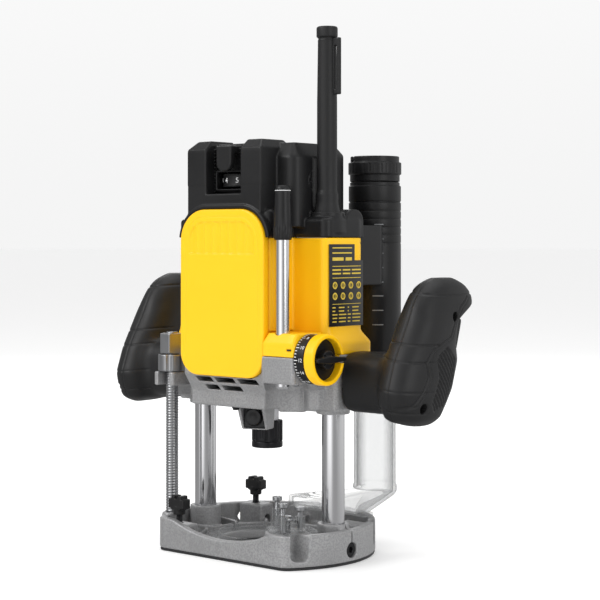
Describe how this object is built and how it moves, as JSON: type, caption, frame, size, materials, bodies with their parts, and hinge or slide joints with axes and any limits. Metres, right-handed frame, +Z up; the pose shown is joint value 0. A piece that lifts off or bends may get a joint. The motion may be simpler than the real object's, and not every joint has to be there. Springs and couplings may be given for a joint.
{
  "type": "plunge router",
  "caption": "Plunge router: motor carriage with side handles sliding on two columns above a D-shaped base, with depth stop, turret and dust chute.",
  "frame": {"origin": "on the sole's underside, in the plane of symmetry of the base, 45 mm in front of the spindle axis", "axes": "+Z up, parallel to the spindle, -Y towards the flat edge of the base and the front cover, +X along the line of the two columns towards the trigger handle"},
  "size_m": [0.306, 0.1566, 0.3967],
  "materials": {
    "yellow_plastic": "satin moulded",
    "black_plastic": "fine spark texture",
    "soft_grip": "matt soft grip",
    "cast_alloy": "bead-blasted die casting",
    "chrome_bar": "ground and chromed",
    "steel": "turned",
    "black_steel": "blackened",
    "clear_plastic": "clear",
    "sole_black": "smooth laminate",
    "bronze": "sintered",
    "copper": "turned",
    "laminations": "stacked sheet",
    "carbon": "sintered carbon",
    "moulded_dark": "potted"
  },
  "bodies": {
    "base": {"base_casting": "cast_alloy", "sole_plate": "sole_black", "column_left": "chrome_bar", "column_right": "chrome_bar", "column_set_screw_left": "black_steel", "column_set_screw_right": "black_steel", "limiter_rod": "steel", "turret_pivot_screw": "steel", "dust_chute": "clear_plastic", "chip_shroud": "clear_plastic", "return_spring_left": "steel", "return_spring_right": "steel"},
    "turret": {"turret_body": "clear_plastic", "turret_stop_screw_1": "steel", "turret_stop_screw_2": "steel", "turret_stop_screw_3": "steel"},
    "front_rod_clamp": {"rod_clamp_screw_front": "black_plastic"},
    "rear_rod_clamp": {"rod_clamp_screw_rear": "black_plastic"},
    "release_nut": {"limiter_release_nut": "steel"},
    "lock_nut": {"limiter_lock_nut": "steel"},
    "carriage": {"carriage_casting": "cast_alloy", "guide_bush_left": "bronze", "guide_bush_right": "bronze", "motor_housing": "yellow_plastic", "front_cover": "yellow_plastic", "top_cap": "black_plastic", "depth_bracket": "yellow_plastic", "stator": "laminations", "carbon_brush_left": "carbon", "carbon_brush_right": "carbon", "brush_holder_left": "bronze", "brush_holder_right": "bronze", "lower_bearing": "steel", "upper_bearing": "steel", "electronics_module": "moulded_dark", "switch_module": "moulded_dark", "right_handle_inner": "soft_grip", "right_handle_outer": "soft_grip", "cord_protector": "soft_grip", "dust_pipe": "black_plastic"},
    "plunge_lock_handle": {"left_handle_inner": "soft_grip", "left_handle_outer": "soft_grip", "plunge_lock_screw": "steel"},
    "spindle": {"spindle_shaft": "steel", "rotor_core": "laminations", "commutator": "copper", "cooling_fan": "black_plastic", "collet": "steel"},
    "collet_nut": {"collet_nut": "black_steel"},
    "speed_dial": {"speed_dial": "black_plastic"},
    "spindle_lock": {"spindle_lock_button": "black_plastic"},
    "trigger": {"trigger": "black_plastic"},
    "lock_on_button": {"lock_on_button": "black_plastic"},
    "depth_rod": {"depth_rod": "chrome_bar", "depth_rod_handle": "black_plastic"},
    "depth_knob": {"depth_pinion_shaft": "steel", "depth_knob_ring": "yellow_plastic", "depth_knob_bar": "black_plastic"},
    "depth_scale": {"scale_ring": "black_plastic"},
    "hose_collar": {"hose_collar": "black_plastic"}
  },
  "joints": [
    {"name": "plunge", "type": "slide", "parent": "base", "child": "carriage", "axis": [0, 0, -1], "range_m": [0, 0.08], "deforming": ["return_spring_left", "return_spring_right"]},
    {"name": "turret_turn", "type": "hinge", "parent": "base", "child": "turret", "pos_m": [0.051, 0.008, 0.026], "axis": [0, 0, 1], "continuous": true},
    {"name": "front_clamp_turn", "type": "hinge", "parent": "base", "child": "front_rod_clamp", "pos_m": [-0.051, 0.0005, 0.03], "axis": [0, 0, 1], "continuous": true},
    {"name": "rear_clamp_turn", "type": "hinge", "parent": "base", "child": "rear_rod_clamp", "pos_m": [-0.051, 0.0895, 0.03], "axis": [0, 0, 1], "continuous": true},
    {"name": "release_nut_turn", "type": "hinge", "parent": "base", "child": "release_nut", "pos_m": [-0.067, 0.009, 0.143], "axis": [0, 0, 1], "continuous": true},
    {"name": "lock_nut_turn", "type": "hinge", "parent": "base", "child": "lock_nut", "pos_m": [-0.067, 0.009, 0.158], "axis": [0, 0, 1], "continuous": true},
    {"name": "plunge_lock_twist", "type": "hinge", "parent": "carriage", "child": "plunge_lock_handle", "pos_m": [-0.08, 0.045, 0.1365], "axis": [1, 0, 0], "range_deg": [-5, 20]},
    {"name": "spindle_spin", "type": "hinge", "parent": "carriage", "child": "spindle", "pos_m": [0, 0.045, 0.15], "axis": [0, 0, 1], "continuous": true},
    {"name": "collet_nut_turn", "type": "hinge", "parent": "spindle", "child": "collet_nut", "pos_m": [0, 0.045, 0.09], "axis": [0, 0, 1], "continuous": true},
    {"name": "speed_dial_turn", "type": "hinge", "parent": "carriage", "child": "speed_dial", "pos_m": [0, 0.018, 0.283], "axis": [0, 0, 1], "range_deg": [-135, 135]},
    {"name": "spindle_lock_press", "type": "slide", "parent": "carriage", "child": "spindle_lock", "axis": [-0.309, 0.9511, 0], "range_m": [0, 0.0035]},
    {"name": "trigger_press", "type": "slide", "parent": "carriage", "child": "trigger", "axis": [0, -1, 0], "range_m": [0, 0.004]},
    {"name": "lock_on_press", "type": "slide", "parent": "carriage", "child": "lock_on_button", "axis": [1, 0, 0], "range_m": [0, 0.003]},
    {"name": "depth_rod_slide", "type": "slide", "parent": "carriage", "child": "depth_rod", "axis": [0, 0, 1], "range_m": [-0.065, 0.018]},
    {"name": "depth_knob_turn", "type": "hinge", "parent": "carriage", "child": "depth_knob", "pos_m": [0.085, 0.0074, 0.1526], "axis": [1, 0, 0], "range_deg": [-175, 625]},
    {"name": "depth_scale_turn", "type": "hinge", "parent": "carriage", "child": "depth_scale", "pos_m": [0.077, 0.0074, 0.1526], "axis": [1, 0, 0], "continuous": true},
    {"name": "hose_collar_turn", "type": "hinge", "parent": "carriage", "child": "hose_collar", "pos_m": [0.043, 0.125, 0.29], "axis": [0, 0, 1], "range_deg": [-30, 30]}
  ],
  "couplings": [
    {"joint": "depth_knob_turn", "follows": "depth_rod_slide", "rad_per_m": -166.67}
  ]
}
